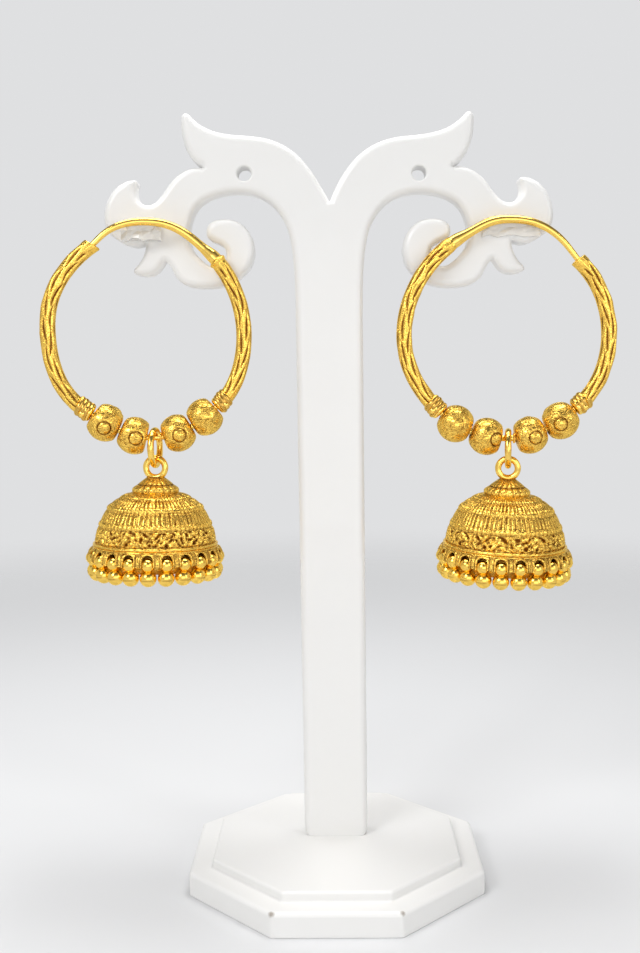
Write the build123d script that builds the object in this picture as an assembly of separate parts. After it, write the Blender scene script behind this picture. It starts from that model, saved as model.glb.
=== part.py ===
# A pair of jhumka earrings hanging on a small display stand, in millimetres.
#
# Frame: +Z up, +X to the right, the stand's front faces -Y.  The origin is the
# middle of the base's underside.  Every part is written in that one frame.
#
# Each earring is a hoop in two tubes, closed over the top by an ear wire that
# slides into one tube's mouth.  A thinner wire joins the tubes at the bottom
# and carries four beads, with a bail ring between the middle two.  A bell
# hangs from the bail by a soldered loop, with a fringe of small balls.
from build123d import *
from math import asin, cos, degrees, pi, radians, sin, sqrt
import os

# ---- stand ---------------------------------------------------------------
LOWER_FLATS = 47.8      # octagon, across flats
LOWER_HIGH = 3.9
UPPER_FLATS = 40.4
UPPER_HIGH = 1.5
BASE_TOP = LOWER_HIGH + UPPER_HIGH
BASE_CORNER = 0.8       # rounding of the upright corners
BASE_EDGE = 0.5         # rounding of the rims

PLATE_FRONT = 0.3       # Y of the plate's front face
PLATE_THICK = 4.3
POST_HALF = 5.35
POST_SPREAD = 88.0      # height over the base where the post starts to widen

EYE_RADIUS = 1.15
EYE_CENTRES = {"left": (-13.8, 110.9), "right": (14.5, 110.6)}   # X, height over the base

# ---- earring, shared by both ---------------------------------------------
TUBE_RADIUS = 1.28
MOUTH_BORE = 0.85       # radius of the open tube's bore
MOUTH_DEPTH = 0.17      # its depth, as a share of the tube's length
WIRE_THICK = 0.72       # ear wire radius next to the solder
WIRE_THIN = 0.43        # and at its free end
BEAD_WIRE = 0.5         # radius of the wire that carries the beads
SEATED = 1.4            # how far that wire runs into each tube
COLLAR_RADIUS = 1.45    # wrapped wire at each tube's foot, in the dips between turns
COLLAR_WIRE = 0.36      # radius of that wire
COLLAR_TURNS = 3
COLLAR_LIP = 0.12       # how far the wrapping stands past the tube's foot

BEAD_RADIUS = 3.05
BEAD_BORE = 0.88
BEAD_PLAY = 0.1         # half the gap between two beads

BAIL_RING = 2.82        # centre line radius
BAIL_WIRE = 0.55
LOOP_RING = 1.58
LOOP_WIRE = 0.53
LINK_GAP = 0.08         # clearance where one ring hangs on another

BELL_WALL = 0.5
RIM_WIRE = 0.3
FRINGE_COUNT = 22
UPPER_BALL = 0.95
UPPER_BALL_RING = 10.15
UPPER_BALL_DROP = 1.7
LOWER_BALL = 1.32
LOWER_BALL_RING = 9.7
LOWER_BALL_DROP = 3.8
ARCH_HALF = 0.8         # half width of each arched opening in the skirt
ARCH_CENTRE = -0.95
SKIRT_FOOT = -2.0

# ---- the two hoops, as made by hand --------------------------------------
# In each hoop's own plane: X to the right, Z up, from the hoop's centre.
# open_tube runs down from the mouth that the ear wire slides into, and
# closed_tube from the shoulder where it is soldered.  The wire with the beads
# sags in an arc below "bottom"; tilt turns that arc about its lowest point.
EARRINGS = {
    "left": {
        "centre": (-29.55, -3.0, 90.8), "turn": 8.0,
        "open_tube": [(-8.3, 13.9), (-12.0, 10.6), (-15.15, 4.9), (-15.65, -0.7), (-13.75, -8.3)],
        "closed_tube": [(11.1, 11.8), (14.15, 6.8), (15.5, 1.0), (15.05, -4.8), (13.45, -9.0)],
        "ear_wire": [(11.1, 11.8), (9.5, 13.25), (7.2, 15.2), (4.0, 17.0), (0.4, 17.6), (-3.85, 17.05), (-6.2, 15.85)],
        "bottom": (1.05, -16.85), "tilt": 2.4,
        "sag_radius": 12.6, "sag_angle": 37.0, "run": 3.4,
        "bead_step": 5.08, "bead_gap": 6.95,
        "bail_shift": -0.25, "bail_turn": -14.0, "bail_room": (2.0, 2.45),
        "bell_lean": 1.3, "bell_nod": -1.0, "loop_height": 12.85,
        "fringe_phase": 0.0,
        "pad": (-3.9, 2.6),
    },
    "right": {
        "centre": (28.4, -1.15, 90.0), "turn": 0.0,
        "open_tube": [(11.5, 11.7), (15.05, 6.85), (16.55, 1.0), (16.05, -4.7), (14.2, -8.95)],
        "closed_tube": [(-8.45, 14.8), (-12.3, 11.3), (-14.9, 7.2), (-16.5, 1.0), (-15.9, -4.5), (-13.95, -8.6)],
        "ear_wire": [(-8.45, 14.8), (-6.2, 16.1), (-1.9, 18.05), (1.0, 18.25), (3.7, 17.9), (6.6, 16.7), (9.35, 14.4)],
        "bottom": (0.36, -16.92), "tilt": 1.0,
        "sag_radius": 15.2, "sag_angle": 41.5, "run": 1.4,
        "bead_step": 5.5, "bead_gap": 7.0,
        "bail_shift": 0.0, "bail_turn": -9.0, "bail_room": (2.3, 2.3),
        "bell_lean": 2.0, "bell_nod": 2.0, "loop_height": 13.1,
        "fringe_phase": 6.0,
        "pad": (-3.9, 5.6),
    },
}
# Ear wire radius along its length, from the shoulder: share of length, radius.
WIRE_TAPER = [(0.0, 1.1), (0.07, 1.05), (0.13, 0.8), (0.18, WIRE_THICK), (0.4, 0.66), (0.7, 0.55), (1.0, WIRE_THIN)]
PAD_DROP = 0.45         # a tape pad's top, below the middle of the wire's top
PAD_UNDER = 2.45        # how far the pad hangs below that
PAD_PROUD = 0.25        # how far it stands in front of the wire's middle
PAD_CLEAR = 0.15


def octagon(flats):
    return RegularPolygon(flats / 2, 8, major_radius=False, rotation=22.5)


def stand_base():
    lower = extrude(octagon(LOWER_FLATS), LOWER_HIGH)
    lower = fillet(lower.edges().filter_by(Axis.Z), BASE_CORNER)
    lower = fillet(lower.faces().sort_by(Axis.Z)[-1].edges(), BASE_EDGE)
    upper = extrude(Pos(0, 0, LOWER_HIGH) * octagon(UPPER_FLATS), UPPER_HIGH)
    upper = fillet(upper.edges().filter_by(Axis.Z), BASE_CORNER)
    upper = fillet(upper.faces().sort_by(Axis.Z)[-1].edges(), BASE_EDGE * 0.7)
    return lower + upper


# The outline of one arm, from the notch in the middle round to the post.
# Each stretch is a smooth curve, and stretches meet in a point or a cusp.
# Columns: X from the post's axis, height over the base.
ARM_STRETCHES = {
    "crest": [(0, 106.3), (2.0, 110.2), (5.4, 114.15), (9.8, 116.25), (15.6, 116.95), (22.2, 120.25)],
    "leaf_tip": [(22.2, 120.25), (23.0, 120.35), (23.5, 119.6)],
    "leaf_side": [(23.5, 119.6), (23.4, 117.2), (22.35, 113.9), (20.0, 111.7)],
    "hump": [(20.0, 111.7), (22.8, 111.35), (25.4, 109.4), (27.4, 106.8), (29.3, 105.85),
             (30.85, 106.9), (31.15, 108.2), (30.85, 109.35)],
    "hook_tip": [(30.85, 109.35), (31.0, 109.85), (31.55, 109.9)],
    "lobe": [(31.55, 109.9), (34.2, 108.8), (36.1, 105.8), (36.0, 102.0), (33.95, 100.1),
             (31.9, 99.3), (29.6, 99.8)],
    "fin_side": [(29.6, 99.8), (30.0, 98.0), (31.65, 95.7)],
    "fin_tip": [(31.65, 95.7), (31.8, 95.1), (31.2, 94.7)],
    "fin_under": [(31.2, 94.7), (28.9, 94.65), (26.75, 96.85)],
    "curl": [(26.75, 96.85), (24.7, 94.0), (20.4, 92.4), (15.7, 93.2), (12.5, 96.1), (12.1, 99.8),
             (14.0, 102.7), (17.1, 103.5), (19.5, 102.4), (19.6, 100.6), (18.2, 99.7),
             (16.8, 98.8), (16.7, 97.2), (18.2, 95.8), (20.5, 96.9), (22.3, 99.2), (22.4, 102.6),
             (20.85, 105.7), (17.45, 107.4), (14.2, 107.7), (11.2, 107.1), (8.85, 105.6),
             (7.1, 103.2), (5.95, 99.3), (5.45, 94.0), (POST_HALF, POST_SPREAD)],
}


# How far each arm sits out from that drawing and up, by side.
ARM_SHIFT = {1: (-0.1, 0.0), -1: (0.42, 0.32)}


def arm_edges(side):
    """One arm's outline; side is 1 for the right arm and -1 for the left."""
    edges = []
    out, up = ARM_SHIFT[side]
    for name, points in ARM_STRETCHES.items():
        placed = [(side * (x + out), z + up) if x > 0 else (x, z) for x, z in points]
        if name == "curl":
            edges.append(Spline(placed, tangents=[(-side * 0.35, -1), (0, -1)]))
        elif len(placed) == 3:
            edges.append(ThreePointArc(*placed))
        else:
            edges.append(Spline(placed))
    edges.append(Line(placed[-1], (side * POST_HALF, 0)))
    return edges


def stand_upright():
    edges = arm_edges(1) + arm_edges(-1)
    edges.append(Line((-POST_HALF, 0), (POST_HALF, 0)))
    outline = make_face(edges)
    for x, z in EYE_CENTRES.values():
        outline -= Pos(x, z) * Circle(EYE_RADIUS)
    front = Plane(origin=(0, PLATE_FRONT, BASE_TOP), x_dir=(1, 0, 0), z_dir=(0, -1, 0))
    plate = extrude(front * outline, -PLATE_THICK)
    return plate


# ---- hoop ----------------------------------------------------------------
def at(point):
    """A point of the hoop's plane in the earring's own frame."""
    return Vector(point[0], 0, point[1])


def section(path, t, radius):
    plane = Plane(origin=path @ t, x_dir=(0, 1, 0), z_dir=path % t)
    return plane * Circle(radius)


def rod(path, radius):
    return sweep(section(path, 0, radius), path=path)


def taper_radius(taper, t):
    """The radius at share t of the length, in straight steps between the rows."""
    for (t0, r0), (t1, r1) in zip(taper, taper[1:]):
        if t <= t1:
            return r0 + (r1 - r0) * (t - t0) / (t1 - t0)
    return taper[-1][1]


def tapered_rod(path, taper, extra=0, count=22):
    steps = [i / (count - 1) for i in range(count)]
    return loft([section(path, t, taper_radius(taper, t) + extra) for t in steps], ruled=True)


def sag_point(e, along, inward=0):
    """A point of the sagging wire: along is the arc's angle from its lowest point."""
    x, z = e["bottom"]
    r, tilt = e["sag_radius"], radians(e["tilt"])
    a = radians(along) + tilt
    cx, cz = x - r * sin(tilt), z + r * cos(tilt)
    return Vector(cx + (r - inward) * sin(a), 0, cz - (r - inward) * cos(a))


def bead_wire_path(e):
    """The sagging wire, an arc with a straight run into each tube, and the tubes' feet."""
    left, right = sag_point(e, -e["sag_angle"]), sag_point(e, e["sag_angle"])
    a_left, a_right = (radians(e["tilt"] + k * e["sag_angle"]) for k in (-1, 1))
    out_left, out_right = -Vector(cos(a_left), 0, sin(a_left)), Vector(cos(a_right), 0, sin(a_right))
    reach = e["run"] + SEATED
    arc = ThreePointArc(left, sag_point(e, 0), right)
    wire = Wire([Line(left + out_left * reach, left), arc, Line(right, right + out_right * reach)])
    return wire, left + out_left * e["run"], right + out_right * e["run"]


def hoop_paths(e):
    """The centre lines of both tubes, the ear wire and the bead wire."""
    bead_wire, *feet = bead_wire_path(e)
    if e["open_tube"][0][0] > 0:
        feet.reverse()
    open_tube, closed_tube = (Spline([at(p) for p in e[name]] + [foot])
                              for name, foot in zip(("open_tube", "closed_tube"), feet))
    inside = [open_tube @ 0, open_tube @ (MOUTH_DEPTH * 0.5)]
    wire = Spline([closed_tube @ 0.04] + [at(p) for p in e["ear_wire"]] + inside)
    return open_tube, closed_tube, wire, bead_wire


def collar():
    """Turns of wrapped wire round a tube's foot, along +Z from the foot."""
    rise = 2 * COLLAR_WIRE
    edges = [Line((0, 0), (COLLAR_RADIUS, 0))]
    for turn in range(COLLAR_TURNS):
        low, high = turn * rise, (turn + 1) * rise
        edges.append(ThreePointArc((COLLAR_RADIUS, low), (COLLAR_RADIUS + COLLAR_WIRE / 2, (low + high) / 2), (COLLAR_RADIUS, high)))
    top = COLLAR_TURNS * rise
    edges += [Line((COLLAR_RADIUS, top), (0, top)), Line((0, top), (0, 0))]
    return revolve(Plane.XZ * make_face(edges), Axis.Z)


def hoop(e):
    open_tube, closed_tube, wire, bead_wire = hoop_paths(e)
    pieces = [rod(closed_tube, TUBE_RADIUS), rod(bead_wire, BEAD_WIRE), tapered_rod(wire, WIRE_TAPER)]
    for tube in (open_tube, closed_tube):
        start = tube @ 1 + (tube % 1) * COLLAR_LIP
        pieces.append(Plane(origin=start, x_dir=(0, 1, 0), z_dir=-(tube % 0.97)) * collar())
    mouth = rod(open_tube, TUBE_RADIUS) - rod(open_tube.trim(0, MOUTH_DEPTH), MOUTH_BORE)
    return mouth.fuse(*pieces)


def bead(e, angle, flats):
    """A ball bored along the wire, with a flat towards each neighbour."""
    ball = Sphere(BEAD_RADIUS) - Rot(0, 90, 0) * Cylinder(BEAD_BORE, 3 * BEAD_RADIUS)
    for side, (reach, lean) in zip((-1, 1), flats):
        outside = Pos(side * (reach + BEAD_RADIUS), 0, 0) * Box(2 * BEAD_RADIUS, 7, 7)
        ball -= Rot(0, -side * lean, 0) * outside
    return Pos(sag_point(e, angle)) * Rot(0, -angle - e["tilt"], 0) * ball


def bead_places(e):
    """Each bead's angle on the arc, and the distance and lean of its left and right flats."""
    inner = degrees(asin(e["bead_gap"] / 2 / e["sag_radius"]))
    half_step = degrees(asin(e["bead_step"] / 2 / e["sag_radius"]))
    outer = inner + 2 * half_step
    to_foot = e["run"] - radians(outer - e["sag_angle"]) * e["sag_radius"]
    to_collar = (to_foot - COLLAR_LIP - COLLAR_WIRE - BEAD_PLAY, 0)
    to_bead = (e["bead_step"] / 2 - BEAD_PLAY, half_step)
    before, after = e["bail_room"]
    return [(-outer, (to_collar, to_bead)), (-inner, (to_bead, (before, 0))),
            (inner, ((after, 0), to_bead)), (outer, (to_bead, to_collar))]


# ---- bail and bell -------------------------------------------------------
def bail_centre_height(e):
    return e["bottom"][1] + BEAD_WIRE + LINK_GAP + BAIL_WIRE - BAIL_RING


def pivot_height(e):
    """The middle of the bail's lower wire, which the bell swings on."""
    return bail_centre_height(e) - BAIL_RING


def bail(e):
    ring = Rot(0, 90, 0) * Torus(BAIL_RING, BAIL_WIRE)
    return Pos(e["bottom"][0] + e["bail_shift"], 0, bail_centre_height(e)) * Rot(0, 0, e["bail_turn"]) * ring


# Columns: radius, height over the rim.
CAP_PROFILE = [(1.3, 11.4), (2.2, 10.75), (3.1, 10.0), (3.7, 9.3), (3.7, 8.8)]
DOME_PROFILE = [(3.6, 8.95), (5.3, 8.3), (6.9, 7.3), (8.05, 5.9), (8.8, 4.4), (9.3, 2.8), (9.75, 0.3)]
SKIRT_PROFILE = [(9.8, 0.4), (10.55, -0.6), (10.75, SKIRT_FOOT)]
SKIRT_WALL = 0.6


def bell_shell():
    dome_out = Spline([(r, z) for r, z in DOME_PROFILE])
    dome_in = Spline([(r - BELL_WALL, z - BELL_WALL * (z / DOME_PROFILE[0][1])) for r, z in DOME_PROFILE])
    wall = make_face([dome_out, Line(dome_out @ 1, dome_in @ 1), dome_in, Line(dome_in @ 0, dome_out @ 0)])
    cap = make_face([Polyline(*CAP_PROFILE, (3.2, 8.3), (0, 8.3), (0, 11.4), CAP_PROFILE[0])])
    inner = [(r - SKIRT_WALL, z) for r, z in reversed(SKIRT_PROFILE)]
    skirt = make_face([Polyline(*SKIRT_PROFILE, *inner, SKIRT_PROFILE[0])])
    shell = None
    for face in (wall, cap, skirt):
        turned = revolve(Plane.XZ * face, Axis.Z)
        shell = turned if shell is None else shell + turned
    rim = Pos(0, 0, 0.6) * Torus(9.85, RIM_WIRE)
    return shell + rim


def bell(loop_height, phase):
    """The bell about its own axis, with its rim at Z = 0; phase turns the fringe from the loop."""
    solid = bell_shell()
    angles = [phase + i * 360 / FRINGE_COUNT for i in range(FRINGE_COUNT)]
    slot = Cylinder(ARCH_HALF, 3, rotation=(0, 90, 0)) + Pos(0, 0, -1.5) * Box(3, 2 * ARCH_HALF, 3)
    slot = Pos(UPPER_BALL_RING + 0.3, 0, ARCH_CENTRE) * slot
    solid -= [Rot(0, 0, a) * slot for a in angles]
    pair = Pos(UPPER_BALL_RING, 0, -UPPER_BALL_DROP) * Sphere(UPPER_BALL)
    pair += Pos(LOWER_BALL_RING, 0, -LOWER_BALL_DROP) * Sphere(LOWER_BALL)
    solid += [Rot(0, 0, a) * pair for a in angles]
    loop = Pos(0, 0, loop_height) * Rot(90, 0, 0) * Torus(LOOP_RING, LOOP_WIRE)
    return solid + loop


def hung_bell(e):
    """The bell hung on the bail's lower wire, leaning as it hangs."""
    drop = e["loop_height"] + LOOP_RING - LOOP_WIRE - LINK_GAP - BAIL_WIRE
    hung = Rot(e["bell_nod"], e["bell_lean"], 0) * Rot(0, 0, e["bail_turn"]) * (Pos(0, 0, -drop) * bell(e["loop_height"], e["fringe_phase"]))
    return Pos(e["bottom"][0] + e["bail_shift"], 0, pivot_height(e)) * hung


def tape_pad(e):
    """A wad of clear tape under the ear wire, stuck to the plate behind it."""
    x0, x1 = e["pad"]
    top = max(z for x, z in e["ear_wire"])
    back = (PLATE_FRONT - e["centre"][1]) / cos(radians(e["turn"])) + 2
    pad = Pos((x0 + x1) / 2, (back - PAD_PROUD) / 2, top - PAD_UNDER / 2 - PAD_DROP)
    pad = pad * Box(x1 - x0, back + PAD_PROUD, PAD_UNDER)
    return pad - tapered_rod(hoop_paths(e)[2], WIRE_TAPER, PAD_CLEAR)


def in_place(e, shape):
    return Pos(*e["centre"]) * Rot(0, 0, e["turn"]) * shape


def build():
    parts = {"stand_base": stand_base(), "stand_upright": stand_upright()}
    plate_space = Pos(0, PLATE_FRONT + 10, 60) * Box(200, 20, 200)
    for side, e in EARRINGS.items():
        parts[f"{side}_hoop"] = in_place(e, hoop(e))
        for number, (angle, flats) in enumerate(bead_places(e), 1):
            parts[f"{side}_bead_{number}"] = in_place(e, bead(e, angle, flats))
        parts[f"{side}_bail"] = in_place(e, bail(e))
        parts[f"{side}_bell"] = in_place(e, hung_bell(e))
        parts[f"{side}_tape"] = in_place(e, tape_pad(e)) - plate_space
    return parts


os.makedirs("parts", exist_ok=True)
for node, shape in build().items():
    export_step(shape, f"parts/{node}.step")
    print(node, round(shape.volume, 1), "mm3")
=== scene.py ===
# A pair of jhumka earrings on their display stand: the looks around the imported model.
# Lengths in the dictionaries are in millimetres, angles in degrees; a mesh is in metres.
from functools import partial
from math import asin, cos, degrees, pi, radians, sin, sqrt

import bmesh
import bpy
import numpy as np
from mathutils import Matrix, Vector, geometry


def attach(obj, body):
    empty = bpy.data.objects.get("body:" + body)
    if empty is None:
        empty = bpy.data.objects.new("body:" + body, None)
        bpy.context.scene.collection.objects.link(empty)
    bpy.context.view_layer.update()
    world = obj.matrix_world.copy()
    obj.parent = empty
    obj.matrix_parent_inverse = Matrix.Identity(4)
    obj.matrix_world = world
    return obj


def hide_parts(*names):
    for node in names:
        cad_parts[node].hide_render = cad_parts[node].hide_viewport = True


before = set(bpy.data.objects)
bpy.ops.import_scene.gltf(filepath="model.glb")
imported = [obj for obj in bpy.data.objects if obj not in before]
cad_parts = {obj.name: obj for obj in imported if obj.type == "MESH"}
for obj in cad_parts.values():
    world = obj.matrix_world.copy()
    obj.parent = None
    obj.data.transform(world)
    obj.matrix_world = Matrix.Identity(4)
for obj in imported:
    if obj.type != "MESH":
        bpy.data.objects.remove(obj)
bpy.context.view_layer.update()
mm = 0.001
weldDistance = 2e-7
scene = bpy.context.scene

cameraView = {"place": (0.3, -181.0, 83.5), "pitch": 5.2, "yaw": -0.75, "roll": -0.67, "lens": 41.55}


def inScene(name, data):
    thing = bpy.data.objects.new(name, data)
    scene.collection.objects.link(thing)
    return thing


def makeCamera(values):
    pitch, yaw, roll = (radians(values[k]) for k in ("pitch", "yaw", "roll"))
    ahead = Vector((sin(yaw) * cos(pitch), cos(yaw) * cos(pitch), -sin(pitch)))
    right = Vector((cos(yaw), -sin(yaw), 0))
    up = right.cross(ahead)
    across, high = cos(roll) * right + sin(roll) * up, cos(roll) * up - sin(roll) * right
    data = bpy.data.cameras.new("camera")
    data.lens, data.sensor_width = values["lens"], 36
    data.clip_start, data.clip_end = 0.01, 20
    camera = inScene("camera", data)
    turn = Matrix((across, high, -ahead)).transposed().to_4x4()
    camera.matrix_world = Matrix.Translation(Vector(values["place"]) * mm) @ turn
    scene.camera = camera


softboxes = {  # place, size, watts
    "keySoftbox": ((-250, -300, 330), (190, 170), 0.8),
    "fillSoftbox": ((330, -260, 190), (90, 260), 0.26),
    "topSoftbox": ((0, 40, 420), (330, 230), 1.45),
    "lowSoftbox": ((70, -380, 80), (380, 150), 0.29),
}
lampTarget = (0, 0, 75)


def makeLights():
    for name, (place, size, watts) in softboxes.items():
        data = bpy.data.lights.new(name, "AREA")
        data.shape, data.size, data.size_y, data.energy = "RECTANGLE", size[0] * mm, size[1] * mm, watts
        lamp = inScene(name, data)
        lamp.location = Vector(place) * mm
        lamp.rotation_mode = "QUATERNION"
        lamp.rotation_quaternion = (Vector(lampTarget) * mm - lamp.location).to_track_quat("-Z", "Y")


worldValues = {  # the ceiling's two places are shares of the way from straight down to straight up
    "seen": (0.74, 0.745, 0.755), "ceiling": (0.2, 0.2, 0.21), "ceilingFrom": 0.4, "ceilingTo": 0.66,
    "ambient": 0.25,
}


def makeWorld(values):
    # What the camera, gloss and glass see is a pale grey room with a darker ceiling, which starts above
    # the view; the light it gives is set apart.
    world = bpy.data.worlds.new("studio")
    scene.world = world
    world.use_nodes = True
    tree = world.node_tree
    tree.nodes.clear()
    out, rays, pale, light = (tree.nodes.new("ShaderNode" + kind) for kind in (
        "OutputWorld", "LightPath", "Background", "Background"))
    way, parts, rise, mix = (tree.nodes.new("ShaderNode" + kind) for kind in (
        "TexCoord", "SeparateXYZ", "MapRange", "MixShader"))
    rise.interpolation_type = "SMOOTHSTEP"
    setInputs(rise, {"From Min": values["ceilingFrom"], "From Max": values["ceilingTo"]})
    setInputs(light, {"Color": (1, 1, 1, 1), "Strength": values["ambient"]})
    room = mixColour(tree, rise.outputs[0], (*values["seen"], 1), (*values["ceiling"], 1))
    anySeen = mathNode(tree, "MAXIMUM", rays.outputs["Is Camera Ray"], rays.outputs["Is Glossy Ray"])
    anySeen = mathNode(tree, "MAXIMUM", anySeen, rays.outputs["Is Transmission Ray"])
    for source, socket in (
            (way.outputs["Generated"], parts.inputs[0]), (parts.outputs["Z"], rise.inputs["Value"]),
            (room, pale.inputs[0]), (anySeen, mix.inputs[0]), (light.outputs[0], mix.inputs[1]),
            (pale.outputs[0], mix.inputs[2]), (mix.outputs[0], out.inputs["Surface"])):
        tree.links.new(source, socket)


floorValues = {
    "radius": 600, "corners": 96, "clear": 120, "full": 430,
    "colour": (0.74, 0.745, 0.755), "roughness": 0.9, "gloss": 0.1,
}


def makeFloor(values):
    # A round floor that fades into the background between the two distances.
    turn = aroundCircle(values["corners"])
    mesh = bpy.data.meshes.new("floor")
    points = spun(values["radius"] * mm, turn, 0)
    mesh.from_pydata(points.tolist(), [], [list(range(values["corners"]))])
    floor = inScene("floor", mesh)
    material, nodes, links, shader = newMaterial("floorPaper")
    setInputs(shader, {"Base Color": (*values["colour"], 1), "Roughness": values["roughness"],
                       "Specular IOR Level": values["gloss"]})
    place, length, fade = (nodes.new("ShaderNode" + kind) for kind in ("TexCoord", "VectorMath", "MapRange"))
    length.operation, fade.interpolation_type = "LENGTH", "SMOOTHSTEP"
    setInputs(fade, {"From Min": values["clear"] * mm, "From Max": values["full"] * mm,
                     "To Min": 1, "To Max": 0})
    links.new(place.outputs["Object"], length.inputs[0])
    links.new(length.outputs["Value"], fade.inputs["Value"])
    links.new(fade.outputs[0], shader.inputs["Alpha"])
    mesh.materials.append(material)


def newMaterial(name):
    material = bpy.data.materials.new(name)
    material.use_nodes = True
    tree = material.node_tree
    return material, tree.nodes, tree.links, tree.nodes["Principled BSDF"]


def setInputs(node, values):
    for label, value in values.items():
        node.inputs[label].default_value = value


def newGroup(name, inputs):
    # A group whose inputs are colours or numbers, and which puts out a colour, a roughness and a height.
    tree = bpy.data.node_groups.new(name, "ShaderNodeTree")
    colour, number = "NodeSocketColor", "NodeSocketFloat"
    for label, value in inputs.items():
        kind = colour if isinstance(value, tuple) else number
        tree.interface.new_socket(name=label, in_out="INPUT", socket_type=kind).default_value = value
    for label, kind in (("Color", colour), ("Roughness", number), ("Height", number)):
        tree.interface.new_socket(name=label, in_out="OUTPUT", socket_type=kind)
    return tree, tree.nodes.new("NodeGroupInput"), tree.nodes.new("NodeGroupOutput")


def mathNode(tree, kind, *values):
    node = tree.nodes.new("ShaderNodeMath")
    node.operation = kind
    for socket, value in zip(node.inputs, values):
        if isinstance(value, (int, float)):
            socket.default_value = value
        else:
            tree.links.new(value, socket)
    return node.outputs[0]


def sums(tree):
    # Plus, minus, times, the larger and the smaller of two values, as nodes of that tree.
    return [partial(mathNode, tree, kind) for kind in ("ADD", "SUBTRACT", "MULTIPLY", "MAXIMUM", "MINIMUM")]


def noiseNode(tree, place, scale, detail=2.0, roughness=0.5):
    node = tree.nodes.new("ShaderNodeTexNoise")
    node.inputs["Detail"].default_value = detail
    node.inputs["Roughness"].default_value = roughness
    tree.links.new(place, node.inputs["Vector"])
    if isinstance(scale, (int, float)):
        node.inputs["Scale"].default_value = scale
    else:
        tree.links.new(scale, node.inputs["Scale"])
    return node.outputs["Fac"]


def mixColour(tree, share, first, second):
    node = tree.nodes.new("ShaderNodeMix")
    node.data_type = "RGBA"
    for socket, value in ((node.inputs[0], share), (node.inputs[6], first), (node.inputs[7], second)):
        if isinstance(value, (tuple, float, int)):
            socket.default_value = value
        else:
            tree.links.new(value, socket)
    return node.outputs[2]


def addBump(material, height, relief):
    tree = material.node_tree
    bump = tree.nodes.new("ShaderNodeBump")
    bump.inputs["Distance"].default_value = relief * mm
    tree.links.new(height, bump.inputs["Height"])
    tree.links.new(bump.outputs[0], tree.nodes["Principled BSDF"].inputs["Normal"])


def placeGroup(material, group, relief):
    # The group in the material, with its colour, roughness and height on the material's shader.
    tree = material.node_tree
    look = tree.nodes.new("ShaderNodeGroup")
    look.node_tree = group
    shader = tree.nodes["Principled BSDF"]
    tree.links.new(look.outputs["Color"], shader.inputs["Base Color"])
    tree.links.new(look.outputs["Roughness"], shader.inputs["Roughness"])
    addBump(material, look.outputs["Height"], relief)
    return look


wornValues = {  # scales of the patterns, and how much each of them counts in tone, roughness or height
    "driftScale": 260.0, "driftTone": 0.35, "lineScale": 1.7, "lineSharpness": 22.0, "lineTone": 0.45,
    "lineDepth": 0.7, "stretch": (0.35, 1.0, 1.9), "stretchTurn": (0.3, 0.5, 0.7), "pitLevel": 0.52,
    "pitTone": 1.6, "recessRoughness": 0.3, "grainRoughness": 0.1, "grainHeight": 0.8,
}


def wornGoldGroup(values):
    # Colour, roughness and height of engraved gold: painted shade in the recesses, mixed towards the deep
    # colour by the recess input, the plain gold colour elsewhere, with drifting tone, fine crossing scratches
    # and small pits.
    tree, given, out = newGroup("wornGold", {
        "RecessShade": 0.0, "Bright": (1, 0.72, 0.2, 1), "ShadeAndWearColour": (0.3, 0.1, 0.01, 1),
        "Polish": 0.2, "Grain": 1500.0, "Marks": 0.5})
    plus, minus, times, larger, smaller = sums(tree)
    place = tree.nodes.new("ShaderNodeTexCoord").outputs["Object"]
    drift = noiseNode(tree, place, values["driftScale"], 3.0)
    fine = noiseNode(tree, place, given.outputs["Grain"], 4.0, 0.65)
    stretch = tree.nodes.new("ShaderNodeMapping")
    setInputs(stretch, {"Scale": values["stretch"], "Rotation": values["stretchTurn"]})
    tree.links.new(place, stretch.inputs["Vector"])
    lines = noiseNode(tree, stretch.outputs[0], times(given.outputs["Grain"], values["lineScale"]), 3.0, 0.6)
    # A mark is a narrow dark line where the stretched noise crosses its middle; a pit is where the fine
    # noise is low.
    across = times(mathNode(tree, "ABSOLUTE", minus(lines, 0.5)), values["lineSharpness"])
    mark = times(minus(1.0, smaller(across, 1.0)), given.outputs["Marks"])
    pit = times(larger(minus(values["pitLevel"], fine), 0.0), given.outputs["Marks"])
    # low is the painted shade in the recesses, with the scratch marks and pits added to it
    low = plus(given.outputs["RecessShade"], times(mark, values["lineTone"]))
    low = smaller(plus(low, times(pit, values["pitTone"])), 1.0)
    tone = larger(plus(low, times(minus(0.5, drift), values["driftTone"])), 0.0)
    tree.links.new(mixColour(tree, tone, given.outputs["Bright"], given.outputs["ShadeAndWearColour"]), out.inputs["Color"])
    rough = plus(given.outputs["Polish"], times(low, values["recessRoughness"]))
    tree.links.new(plus(rough, times(fine, values["grainRoughness"])), out.inputs["Roughness"])
    height = minus(times(fine, values["grainHeight"]), times(mark, values["lineDepth"]))
    tree.links.new(height, out.inputs["Height"])
    return tree


def goldMaterial(name, group, values):
    material, nodes, links, shader = newMaterial(name)
    setInputs(shader, {"Metallic": 1.0, "Specular Tint": (1.0, 0.93, 0.62, 1)})
    # each point's painted shade in recesses and hollows, read from the mesh
    paintedShade = nodes.new("ShaderNodeAttribute")
    paintedShade.attribute_name = "paintedShade"
    look = placeGroup(material, group, values["relief"])
    setInputs(look, {"Bright": (*values["bright"], 1), "ShadeAndWearColour": (*values["deep"], 1),
                     "Polish": values["polish"], "Grain": values["grain"], "Marks": values["marks"]})
    links.new(paintedShade.outputs["Fac"], look.inputs["RecessShade"])
    return material


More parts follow.
